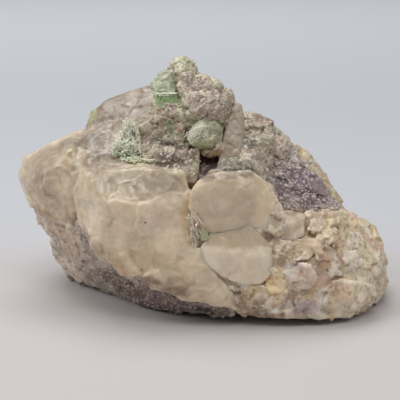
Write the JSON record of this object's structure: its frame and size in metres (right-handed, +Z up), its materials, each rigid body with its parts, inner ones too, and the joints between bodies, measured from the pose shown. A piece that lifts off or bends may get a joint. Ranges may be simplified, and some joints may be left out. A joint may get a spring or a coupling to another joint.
{
  "type": "pollucite specimen",
  "caption": "Loose hand specimen of milky beige pollucite grown with purple lepidolite, cream albite and green tourmaline, resting on a flat base.",
  "frame": {"origin": "on the floor, under the middle of the specimen's bounding box, in the plane of the flat face that it rests on", "axes": "+X to the right along the specimen's length, +Y from the front to the back, +Z up; the front faces -Y"},
  "size_m": [0.124, 0.078, 0.081],
  "materials": {
    "pollucite": "milky beige, waxy to glassy broken faces",
    "lepidolite": "granular purple mica with glinting flakes",
    "albite": "cream, sugary and stained with iron",
    "tourmaline": "pale green, glassy and splintery",
    "blade": "grey-beige, smooth cleavage faces"
  },
  "bodies": {
    "root": {"rock": "pollucite", "pollucite_dome": "pollucite", "pollucite_wedge": "pollucite", "blade_crystal": "blade", "tourmaline_crest": "tourmaline", "tourmaline_spray": "tourmaline", "tourmaline_stub": "tourmaline", "tourmaline_splinter": "tourmaline"}
  },
  "joints": []
}
